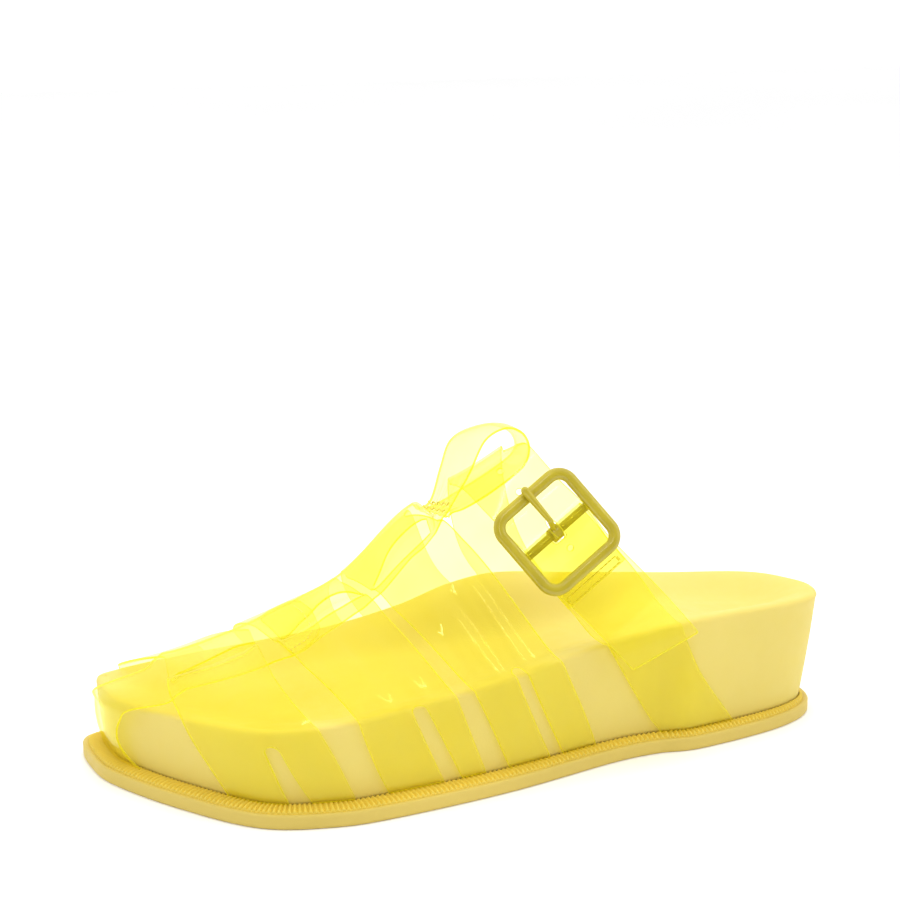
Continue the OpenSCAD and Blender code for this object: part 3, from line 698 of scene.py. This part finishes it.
def dish_heights(flat, lip):
    """Height of the footbed's top inside its lip: down to the dish within some 18 mm."""
    near = ((flat[:, None] - lip[None, ::4, :2])**2).sum(-1)
    weight = 1 / (near + 4)**2
    rim = (weight * lip[None, ::4, 2]).sum(1) / weight.sum(1)
    gap = gap_to(lip[:, :2], flat)
    edge = gap < 0.05
    rim[edge] = lip[np.argmin(((flat[edge][:, None] - lip[None, :, :2])**2).sum(-1), 1), 2]
    gap[edge] = 0
    x, y = flat[:, 0], flat[:, 1]
    low = np.minimum(curve(y, RIM_L), curve(y, RIM_M)) - 5.0
    drop = smooth(gap / 19)**0.85
    arch = 2.4 * np.exp(-((y + 15) / 38)**2) * smooth((x - 4) / 26)
    toe_bar = 1.1 * np.exp(-((y - 78) / 9)**2)
    return rim * (1 - drop) + low * drop + (arch + toe_bar) * smooth(gap / 9)


# ---------------------------------------------------------------- upper: weave
BANDS = {"front": FRONT_BAND, "middle": MIDDLE_BAND, "rear": REAR_BAND}


def slit_s(y):
    return curve(y, SLIT_S)


def slit_span(strap):
    """Crest places between which a band passes the slit line."""
    ends = []
    for edge in strap:
        y = edge[1]
        for _ in range(12):
            y = float(edge_y(edge, slit_s(y)))
        ends.append(y)
    return ends[1], ends[0]


SPANS = {k: slit_span(v) for k, v in BANDS.items()}


def under_band(y):
    """1 where a band crosses the lengthwise strap, 0 in the gaps between bands."""
    k = np.zeros_like(np.asarray(y, float))
    for lo, hi in SPANS.values():
        k = np.maximum(k, smooth((y - lo) / 4 + 0.4) * smooth((hi - y) / 4 + 0.4))
    return k


def opening(y):
    return np.maximum(curve(y, OPEN_S), 0)


def strap_offset(y, v):
    """Height of a lengthwise strap's middle surface, v mm medial of its slit."""
    lip = np.minimum(opening(y) / 0.05, 1)
    return np.where(v > 0, 2.2 + 0.95 * lip * np.exp(-(v / 5.5)**2), 2.0 - 0.75 * under_band(y))


def band_offset(s, y, w, seed):
    """Height of a band's middle surface: over the strap's lateral strip, through the slit, and
    under its medial part, with soft folds that run down the lateral side."""
    mm = arch_mm(y, slit_s(y))
    d = (s - slit_s(y)) * mm
    strip = (slit_s(y) - curve(y, LAT_S)) * mm
    gap = opening(y) * mm
    reach = np.maximum(0.9, gap / 2 + 0.4)
    over = smooth((d + strip + 9) / 9) * (1 - smooth((d - gap / 2 + reach) / (2 * reach)))
    base = 1.05 + 1.3 * over
    if seed == 1:
        fold = 0.5 * np.exp(-((d + strip + 9) / 9)**2) * np.sin(np.pi * np.clip(w, 0, 1))
        return base + fold
    reach = np.exp(-((d + 26) / 26)**2) * smooth((3 - d) / 8)
    wave = (np.sin(2 * np.pi * (w * 2.6 + 0.2 * seed) + 0.02 * d)
            + 0.45 * np.sin(2 * np.pi * (w * 5.6 + 0.37 * seed) - 0.03 * d))
    return base + 0.42 * reach * wave * smooth(w / 0.15) * smooth((1 - w) / 0.15)


TURN_IN = 6.0


def with_feet(rows, strap, *sides):
    """Adds the ends turned in under the footbed to a strap's rows of points."""
    rows = list(rows)
    z = OUTSOLE_T + SHEET_T / 2 + 0.15
    w = np.linspace(0, 1, len(rows[0]))
    for side in sides:
        foot = rows[0 if side < 0 else -1].copy()
        y = cross_y(strap, np.full_like(w, side), w)
        out = ring3(edge_out(curve(y, FOOT_L if side < 0 else FOOT_M)), 0.0)
        foot[:, 2] = z
        extra = [foot - out * TURN_IN, foot - out * TURN_IN / 2, foot - out * 0.5]
        keep = [r for r in rows if r[:, 2].min() > z + 0.4]
        rows = extra + keep if side < 0 else keep + extra[::-1]
    return np.array(rows)


def halved(below, lo, hi):
    """Where below() stops being true between lo and hi."""
    for _ in range(30):
        m = (lo + hi) / 2
        lo, hi = (m, hi) if below(m) else (lo, m)
    return lo


def slot_outline(patch, strap, side, height, low_w, high_w, shift):
    """Slot open at the foot and rounded at its top, shift mm behind the band's middle."""
    s_top = side * halved(lambda m: upper(cross_y(strap, side * m, 0.5), side * m, 1.0)[2] < height,
                          1.0, 0.3)
    s = np.linspace(-1, 1, 260)
    y = cross_y(strap, s, 0.5)
    pts = upper(y, s, 1.0)
    at = np.concatenate([[0], np.cumsum(np.linalg.norm(np.diff(pts, axis=0), axis=1))])
    u_top = np.interp(s_top, s, at) + TURN_IN - 1
    u_low = 0.0 if side < 0 else patch.length
    sign = 1 if side < 0 else -1
    mid = patch.width / 2 + shift
    r = high_w / 2
    cap_u = u_top - sign * r
    arc = [(cap_u + sign * r * math.cos(a), mid + r * math.sin(a))
           for a in np.linspace(-math.pi / 2, math.pi / 2, 13)]
    low = u_low - sign * 3
    poly = [(low, mid - low_w / 2), *arc, (low, mid + low_w / 2)]
    return [(min(max(u, 0.0), patch.length), v) for u, v in poly]


def band_patch(strap, seed):
    s, w = np.meshgrid(np.linspace(-1, 1, 220), np.linspace(0, 1, 41), indexing="ij")
    y = cross_y(strap, s, w)
    return Patch(with_feet(upper(y, s, band_offset(s, y, w, seed)), strap, -1, 1))


def build_band(name, strap, seed, heights, widths, shift):
    """Band with a slot in each foot; heights are the slots' tops, lateral and medial."""
    patch = band_patch(strap, seed)
    L, W = patch.length, patch.width
    left = slot_outline(patch, strap, -1, heights[0], *widths, shift)
    right = slot_outline(patch, strap, 1, heights[1], *widths, 0.0)
    pts = [(0.0, 0.0), (L, 0.0), *right, (L, W), (0.0, W), *left[::-1]]
    return cut_sheet(name, np.array(pts), [], patch.place)


def slit_hole(patch_u, lo, hi, n=40):
    """A slit as a narrow hole in flat coordinates; patch_u maps crest y to u."""
    y = np.linspace(lo, hi, n)
    half = 0.08 + 0.1 * np.sin(np.pi * np.linspace(0, 1, n))
    return np.array([(patch_u(a), -b) for a, b in zip(y, half)]
                    + [(patch_u(a), b) for a, b in zip(y, half)][::-1])


V_COLS = np.concatenate([np.linspace(-STRIP, -0.02, 15), np.linspace(0.02, MAIN, 31)])


def along_grid(ys, extra=0.0):
    """Rows of a lengthwise strap on the foot, its columns from the lateral to the medial edge."""
    y, v = np.meshgrid(ys, V_COLS, indexing="ij")
    lat, slit, med = (curve(y, t) for t in (LAT_S, SLIT_S, MED_S))
    lip = slit + opening(y)
    s = np.where(v < 0, slit + (lat - slit) * -v / STRIP, lip + (med - lip) * v / MAIN)
    return upper(y, s, strap_offset(y, v) + extra)


class StrapPatch(Patch):
    """Patch whose columns keep their own v, so that the slit's two lips stay apart."""

    def column(self, v):
        return np.interp(v, V_COLS, np.arange(len(V_COLS)))


ACROSS_W = (V_COLS + STRIP) / (STRIP + MAIN)


def loop_rows():
    """Rows of the loop between its two edges, gathered where its ends meet."""
    lat, med = spline_rows(LOOP_LAT, 8), spline_rows(LOOP_MED, 8)
    i = np.arange(len(lat)) / 8.0
    pinch = np.maximum(np.exp(-((i - 2) / 1.3)**2), np.exp(-((i - 12) / 1.1)**2))[:, None]
    w = ACROSS_W[None, :]
    middle = 0.5 * (LOOP_X[0] + LOOP_X[1])
    half = 0.5 * (LOOP_X[1] - LOOP_X[0]) * (1 - 0.2 * pinch)
    x = middle + (2 * w - 1) * half
    yz = lat[:, None] * (1 - w[..., None]) + med[:, None] * w[..., None]
    pleat = 0.6 * pinch * np.sin(w * 2 * np.pi * 4.5)
    bulge = 1.2 * (1 - pinch) * np.sin(np.pi * w)
    up = np.clip((yz[..., 1] - 90) / 15, -0.3, 1)
    return np.stack([x, yz[..., 0] + 0.3 * pleat, yz[..., 1] + pleat + bulge * up], -1)


def build_vamp_strap():
    """From under the toe strap's tab back over the instep, gathered, and folded into the loop."""
    ys = np.linspace(73, 19, 120)
    flat = along_grid(ys)
    rows = loop_rows()
    blend = 12
    mid = [flat[-1] * (1 - smooth(k / blend)) + rows[6] * smooth(k / blend)
           for k in range(1, blend)]
    grid = np.concatenate([flat, np.array(mid), rows[6:]])
    patch = StrapPatch(grid)
    u_of = lambda y: float(np.interp(-y, -ys, patch.at[:len(ys)]))
    holes = [slit_hole(u_of, max(SPANS[k][0], 20) + 0.3, SPANS[k][1] - 0.3)
             for k in ("middle", "rear")]
    outline = rounded([(0, -STRIP), (patch.length, -STRIP), (patch.length, MAIN), (0, MAIN)],
                      [4, 0, 0, 4])
    return cut_sheet("vamp_strap_sheet", outline, holes, patch.place, step=1.3)


TAB_Y = 60.8
# Lateral edge of the toe strap up the toe wall: place on the edge curve by height
TOE_LAT = [(5.5, 2.26), (8.5, 2.1), (13.4, 1.99), (16.9, 1.98), (20.8, 2.04), (26, 2.21),
           (31.2, 2.44)]
TOE_MED = [(5.5, 0.45), (14, 0.45), (22, 0.6), (31.2, 0.95)]
TOE_STAND = [(4.8, 1), (9, 2.6), (15, 4.2), (24, 4.2), (31.2, 3)]


def toe_wall_row(z):
    """Row of the toe strap at height z, standing off the footbed's toe wall."""
    u = curve(z, TOE_LAT) * (1 - ACROSS_W) + curve(z, TOE_MED) * ACROSS_W
    foot, out = wall_at(u), edge_out(u)
    lean = curve(foot[:, 1], FLARE) * np.clip((z - OUTSOLE_T) / 23, 0, 1)
    xy = foot + out * (lean + curve(z, TOE_STAND) * (1 - 0.55 * ACROSS_W))[:, None]
    return ring3(xy, z)


def build_toe_strap():
    """Turned in under the toe, standing off the toe wall, back along the crest to its tab."""
    ys = np.linspace(107, TAB_Y, 100)
    # the tab lies on the vamp strap, and the strap dips in front of the front band
    level = 0.8 * smooth((74 - ys) / 5) - 2.2 * smooth((ys - 103.5) / 4)
    crest_rows = along_grid(ys, level[:, None])
    walls = [toe_wall_row(z) for z in (5.5, 9, 13.5, 18, 22.5, 27)]
    ahead = crest_rows[0] + (crest_rows[0] - crest_rows[8]) * 0.75
    over = spline_rows([*walls, ahead - np.array([0, 0, 0.8]), crest_rows[0]], 8)
    u = curve(5.5, TOE_LAT) * (1 - ACROSS_W) + curve(5.5, TOE_MED) * ACROSS_W
    inward = -ring3(edge_out(u), 0.0)
    foot = walls[0].copy()
    foot[:, 2] = OUTSOLE_T + 0.75
    grid = np.concatenate([[foot + inward * 6, foot + inward * 3, foot + inward * 0.6], over,
                           crest_rows[1:]])
    patch = StrapPatch(grid)
    first = len(grid) - len(ys)
    u_of = lambda y: float(np.interp(-y, -ys, patch.at[first:]))
    hole = slit_hole(u_of, SPANS["front"][0] + 0.3, min(SPANS["front"][1], 106.5))
    outline = rounded([(0, -STRIP), (patch.length, -STRIP), (patch.length, MAIN), (0, MAIN)],
                      [0, 9, 9, 0])
    return cut_sheet("toe_strap_sheet", outline, [hole], patch.place, step=1.4), patch


# ---------------------------------------------------------------- upper: buckle strap and anchor
def buckle_point(x, y, z):
    x, y, z = np.broadcast_arrays(*(np.asarray(a, float) for a in (x, y, z)))
    return BUCKLE_AT + DOWN * x[..., None] + ACROSS * y[..., None] + OUTWARD * z[..., None]


def down_of(s):
    """How far below the bar the anchor strap's middle line is at arch share s."""
    s = np.asarray(s, float)
    front, rear = (upper(edge_y(edge, s), s, 1.0) for edge in ANCHOR_STRAP)
    return ((front + rear) / 2 - BUCKLE_AT) @ DOWN


def anchor_z(a):
    bump_share = np.where(np.abs(a) > BUMP_LEN, 0, (1 + np.cos(np.pi * a / BUMP_LEN)) / 2)
    return ANCHOR_LOW + (ANCHOR_HIGH - ANCHOR_LOW) * bump_share


def fold_z(a):
    far = anchor_z(np.maximum(a, 8)) - SHEET_T - 0.05
    return far + (-ANCHOR_HIGH - far) * (1 - smooth(a / 8))


def near_buckle(p, s, w, z):
    """Strap point near the buckle, flattened into the buckle's own frame, which fades out."""
    a = down_of(s)
    k = ((1 - smooth((np.abs(a) - 22) / 24)) * smooth((-s - 0.005) / 0.07))[..., None]
    sag = 2.6 * (1 - w) * smooth((-a - 12) / 16)
    return p * (1 - k) + buckle_point(a, (2 * w - 1) * STRAP_HALF, z - sag) * k


BAR_S = halved(lambda s: down_of(s) > 0, -0.95, -0.1)
W_COLS = np.linspace(0, 1, 29)


def strap_grid(strap, s_values, offset, z_of):
    s, w = np.meshgrid(s_values, W_COLS, indexing="ij")
    p = upper(cross_y(strap, s, w), s, offset(s))
    return near_buckle(p, s, w, z_of(down_of(s)))


def build_anchor_strap():
    """Up from its foot, round the buckle's bar and back under itself."""
    grid = strap_grid(ANCHOR_STRAP, np.linspace(-1, BAR_S, 90), lambda s: 1.05 + 0 * s, anchor_z)
    r, y = ANCHOR_HIGH, (2 * W_COLS - 1) * STRAP_HALF
    wrap = [buckle_point(r * math.cos(t), y, r * math.sin(t))
            for t in np.radians(np.linspace(90, 270, 16)[1:])]
    folded = [buckle_point(a, y, fold_z(a)) for a in np.arange(1.5, FOLD_LEN + 0.1, 1.0)]
    patch = Patch(with_feet(np.concatenate([grid, wrap, folded]), ANCHOR_STRAP, -1))
    # window for the prong's hub, round the bar
    wrap_len, spare, half = math.pi * r, 3.2, 2.3
    start = patch.at[np.argmin(np.abs(patch.at - (patch.at[-1] - FOLD_LEN - wrap_len)))]
    lo, hi, mid = start - spare, start + wrap_len + spare, patch.width / 2
    window = rounded([(lo, mid - half), (hi, mid - half), (hi, mid + half), (lo, mid + half)],
                     [1.2] * 4, 4)
    L, W = patch.length, patch.width
    return cut_sheet("anchor_strap_sheet", [(0, 0), (L, 0), (L, W), (0, W)], [window], patch.place)


HOLE_PITCH = 9.2
HOLE_D = 2.3


def build_buckle_strap():
    """From its free end under the frame and over the bar, through the loop, to its medial foot."""
    # out over the loop's lower end on the medial side, and down to the wall below it
    layer = lambda s: (2.9 + 1.9 * smooth(s / 0.1) * (1 - smooth((s - 0.28) / 0.2))
                       - 1.85 * smooth((s - 0.5) / 0.3))
    cross_z = lambda a: anchor_z(a) + CROSS_GAP
    grid = strap_grid(CROSS_STRAP, np.linspace(BAR_S, 1, 170), layer, cross_z)
    t = np.linspace(1, 0.015, 60)[:, None]
    a = t * (FREE_END + END_SKEW * W_COLS[None, :])
    free = buckle_point(a, (2 * W_COLS - 1) * STRAP_HALF + END_DRIFT * (a / FREE_END)**2,
                        cross_z(a) - END_BEND * np.maximum(a - 24, 0)**2)
    patch = Patch(with_feet(np.concatenate([free, grid]), CROSS_STRAP, 1))
    u_bar = patch.at[len(free)]
    mid = patch.width / 2
    ring = lambda u, a, b: np.array([(u + a * math.cos(t), mid + b * math.sin(t))
                                     for t in np.linspace(0, 2 * math.pi, 25)[:-1]])
    holes = [ring(u_bar + 1.3, 4.4, 1.6)]
    holes += [ring(u_bar - k * HOLE_PITCH + (2.2 if k > 0 else 0), HOLE_D / 2, HOLE_D / 2)
              for k in (1, -2, -3)]
    L, W = patch.length, patch.width
    outline = rounded([(0, 0), (L, 0), (L, W), (0, W)], [0.8, 0, 0, 0.8], 4)
    return cut_sheet("buckle_strap_sheet", outline, holes, patch.place)


# ---------------------------------------------------------------- stitching
def tube_pieces(name, segments, radius):
    """Short threads: each segment is a small bowed tube with rounded ends."""
    verts, faces = [], []
    rings, sides, bow = 7, 8, 0.25
    for a, b, n in segments:
        a, b, n = (np.asarray(v, float) for v in (a, b, n))
        d = (b - a) / np.linalg.norm(b - a)
        side = np.cross(d, n)
        side /= np.linalg.norm(side)
        up = np.cross(side, d)
        base = len(verts)
        for k in range(rings):
            t = k / (rings - 1)
            r = radius * math.sqrt(max(1 - (2 * t - 1)**6, 0.06))
            c = a + (b - a) * t + up * bow * radius * math.sin(math.pi * t)
            for q in range(sides):
                ang = 2 * math.pi * q / sides
                verts.append(c + (side * math.cos(ang) + up * math.sin(ang)) * r)
        for k in range(rings - 1):
            for q in range(sides):
                p0, p1 = base + k * sides + q, base + k * sides + (q + 1) % sides
                faces.append([p0, p1, p1 + sides, p0 + sides])
        faces.append([base + q for q in range(sides)][::-1])
        faces.append([base + (rings - 1) * sides + q for q in range(sides)])
    return add_mesh(name, verts, faces, [THREAD])


def dashes(points, normal, fill=0.7):
    """Thread segments between neighbours of a row of points."""
    gap = (1 - fill) / 2
    out = []
    for k in range(len(points) - 1):
        a, b = points[k], points[k + 1]
        n = normal[k] if np.ndim(normal) > 1 else normal
        out.append((a + (b - a) * gap, b - (b - a) * gap, n))
    return out


def build_anchor_stitching():
    """A long narrow box of stitches through the anchor strap and its folded end."""
    segs = []
    for z, n in ((ANCHOR_LOW + SHEET_T / 2 + 0.12, OUTWARD),
                 (fold_z(FOLD_LEN - 2.0) - SHEET_T / 2 - 0.12, -OUTWARD)):
        for a in (FOLD_LEN - 3.4, FOLD_LEN - 0.9):
            segs += dashes(np.array([buckle_point(a, y, z) for y in np.linspace(-11, 11, 13)]), n)
        for y in (-11, 11):
            segs += dashes(np.array([buckle_point(a, y, z)
                                     for a in (FOLD_LEN - 3.4, FOLD_LEN - 0.9)]), n)
    return tube_pieces("anchor_thread", segs, 0.2)


def build_loop_stitching():
    """Two rows through the gather; they follow its pleats."""
    rows = loop_rows()
    segs = []
    for k in (11, 16):
        r = rows[k][(ACROSS_W > 0.03) & (ACROSS_W < 0.97)]
        n = np.array([0, 0.9, 0.45]) / math.hypot(0.9, 0.45)
        at = np.linspace(0, len(r) - 1, 26)
        i = np.clip(at.astype(int), 0, len(r) - 2)
        f = (at - i)[:, None]
        pts = r[i] * (1 - f) + r[i + 1] * f + n * (SHEET_T / 2 + 0.25)
        segs += dashes(pts, n, 0.86)
    return tube_pieces("loop_thread", segs, 0.24)


def build_toe_stitching(patch):
    """Along the tab's two sides and round its end."""
    end = patch.length
    side = STRIP - 2.8
    path = ([(end - 14 + k * 1.7, -side) for k in range(4)]
            + [(end - 7.6 + 4.6 * math.sin(t), -side + 4.6 * (1 - math.cos(t)))
               for t in np.linspace(0.2, 1.4, 5)]
            + [(end - 2.8, v) for v in np.linspace(0, MAIN - 9, 7)])
    uv = np.array(path)
    p = patch.place(uv)
    du = patch.place(uv + [0.3, 0]) - p
    dv = patch.place(uv + [0, 0.3]) - p
    n = np.cross(du, dv)
    n /= np.linalg.norm(n, axis=1, keepdims=True)
    n *= np.where(n[:, 2:] < 0, -1, 1)
    p = p + n * (SHEET_T / 2 + 0.12)
    return tube_pieces("toe_thread", dashes(p, n, 0.55), 0.17)


# ---------------------------------------------------------------- camera, light and floor
def aim(obj, target):
    d = Vector(target) - obj.location
    obj.rotation_euler = d.to_track_quat("-Z", "Y").to_euler()


def build_camera():
    side, height = math.radians(24), math.radians(18.5)
    target = Vector((0.0145, 0.00267, 0.015))
    reach = 0.8
    toward = Vector((-math.cos(side) * math.cos(height), math.sin(side) * math.cos(height),
                     math.sin(height)))
    cam = bpy.data.cameras.new("camera")
    cam.sensor_width = 36
    cam.lens = 93.25
    cam.shift_y = 0.2667
    cam.clip_start = 0.05
    ob = bpy.data.objects.new("camera", cam)
    ob.location = target + toward * reach
    aim(ob, target)
    bpy.context.scene.collection.objects.link(ob)
    bpy.context.scene.camera = ob


def area_light(name, at, target, size, power, size_y=None, shows=True):
    """Area light, seen in reflections only where it shows."""
    l = bpy.data.lights.new(name, "AREA")
    l.energy = power
    l.size = size
    if size_y:
        l.shape = "RECTANGLE"
        l.size_y = size_y
    ob = bpy.data.objects.new(name, l)
    ob.location = at
    ob.visible_glossy = shows
    aim(ob, target)
    bpy.context.scene.collection.objects.link(ob)


def build_studio():
    scene = bpy.context.scene
    world = bpy.data.worlds.new("world")
    world.use_nodes = True
    nt = world.node_tree
    bg = nt.nodes["Background"]
    # white all round, but darker low down on the lateral side, where a studio is open
    at = node(nt, "ShaderNodeTexCoord").outputs["Generated"]
    dot = node(nt, "ShaderNodeVectorMath", {0: at, 1: (-0.87, 0.38, 0.12)},
               operation="DOT_PRODUCT")
    nt.links.new(ramp(nt, dot.outputs["Value"], [(0.35, (1, 1, 1)), (0.8, (0.3, 0.3, 0.3))]),
                 bg.inputs["Color"])
    bg.inputs["Strength"].default_value = 1.12
    scene.world = world
    scene.view_settings.view_transform = "Standard"
    scene.cycles.transparent_max_bounces = 64
    scene.cycles.max_bounces = 24
    middle = (0, 0, 0.04)
    area_light("key", (-0.5, 0.45, 0.95), middle, 0.5, 1.7, shows=False)
    area_light("top", (0.1, -0.1, 1.1), middle, 0.7, 4.2, shows=False)
    # the long thin highlights on the straps and the buckle
    area_light("strip", (-0.75, 0.25, 0.75), (0, 0, 0.06), 0.03, 0.9, 0.8)
    area_light("strip_rear", (-0.55, -0.6, 0.7), (0, 0, 0.06), 0.03, 0.6, 0.8)
    side = 3.0
    me = bpy.data.meshes.new("floor")
    me.from_pydata([(-side, -side, 0), (side, -side, 0), (side, side, 0), (-side, side, 0)], [],
                   [(0, 1, 2, 3)])
    me.materials.append(floor_material())
    floor = bpy.data.objects.new("floor", me)
    scene.collection.objects.link(floor)


# ---------------------------------------------------------------- assembly
def finish_piece(obj, cad_node):
    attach(obj, "root")
    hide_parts(cad_node)


def dress(name, material):
    """Gives a carried-over CAD node its material."""
    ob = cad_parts[name]
    ob.data.materials.clear()
    ob.data.materials.append(material)


build_camera()
build_studio()
finish_piece(build_outsole(), "outsole")
finish_piece(build_welt(), "ribbed_welt")
finish_piece(build_footbed(), "footbed")
toe_sheet, toe_patch = build_toe_strap()
finish_piece(toe_sheet, "toe_strap")
finish_piece(build_vamp_strap(), "vamp_strap")
# Slots of each band: the heights of their tops, their widths low and high, and their shift
SLOTS = {"front": ((19.2, 19), (6.4, 4.8), 0.8), "middle": ((27.4, 26), (6.8, 4.6), 4.6),
         "rear": ((35.4, 34), (5.2, 4.6), 2.0)}
for number, (which, band) in enumerate(BANDS.items(), 1):
    finish_piece(build_band(f"{which}_band_sheet", band, number, *SLOTS[which]),
                 f"{which}_band")
finish_piece(build_anchor_strap(), "anchor_strap")
finish_piece(build_buckle_strap(), "buckle_strap")
finish_piece(build_anchor_stitching(), "anchor_stitching")
finish_piece(build_loop_stitching(), "loop_stitching")
finish_piece(build_toe_stitching(toe_patch), "toe_stitching")
for part in ("buckle_frame", "buckle_bar", "buckle_prong"):
    dress(part, ENAMEL)
dress("filler_board", BOARD)
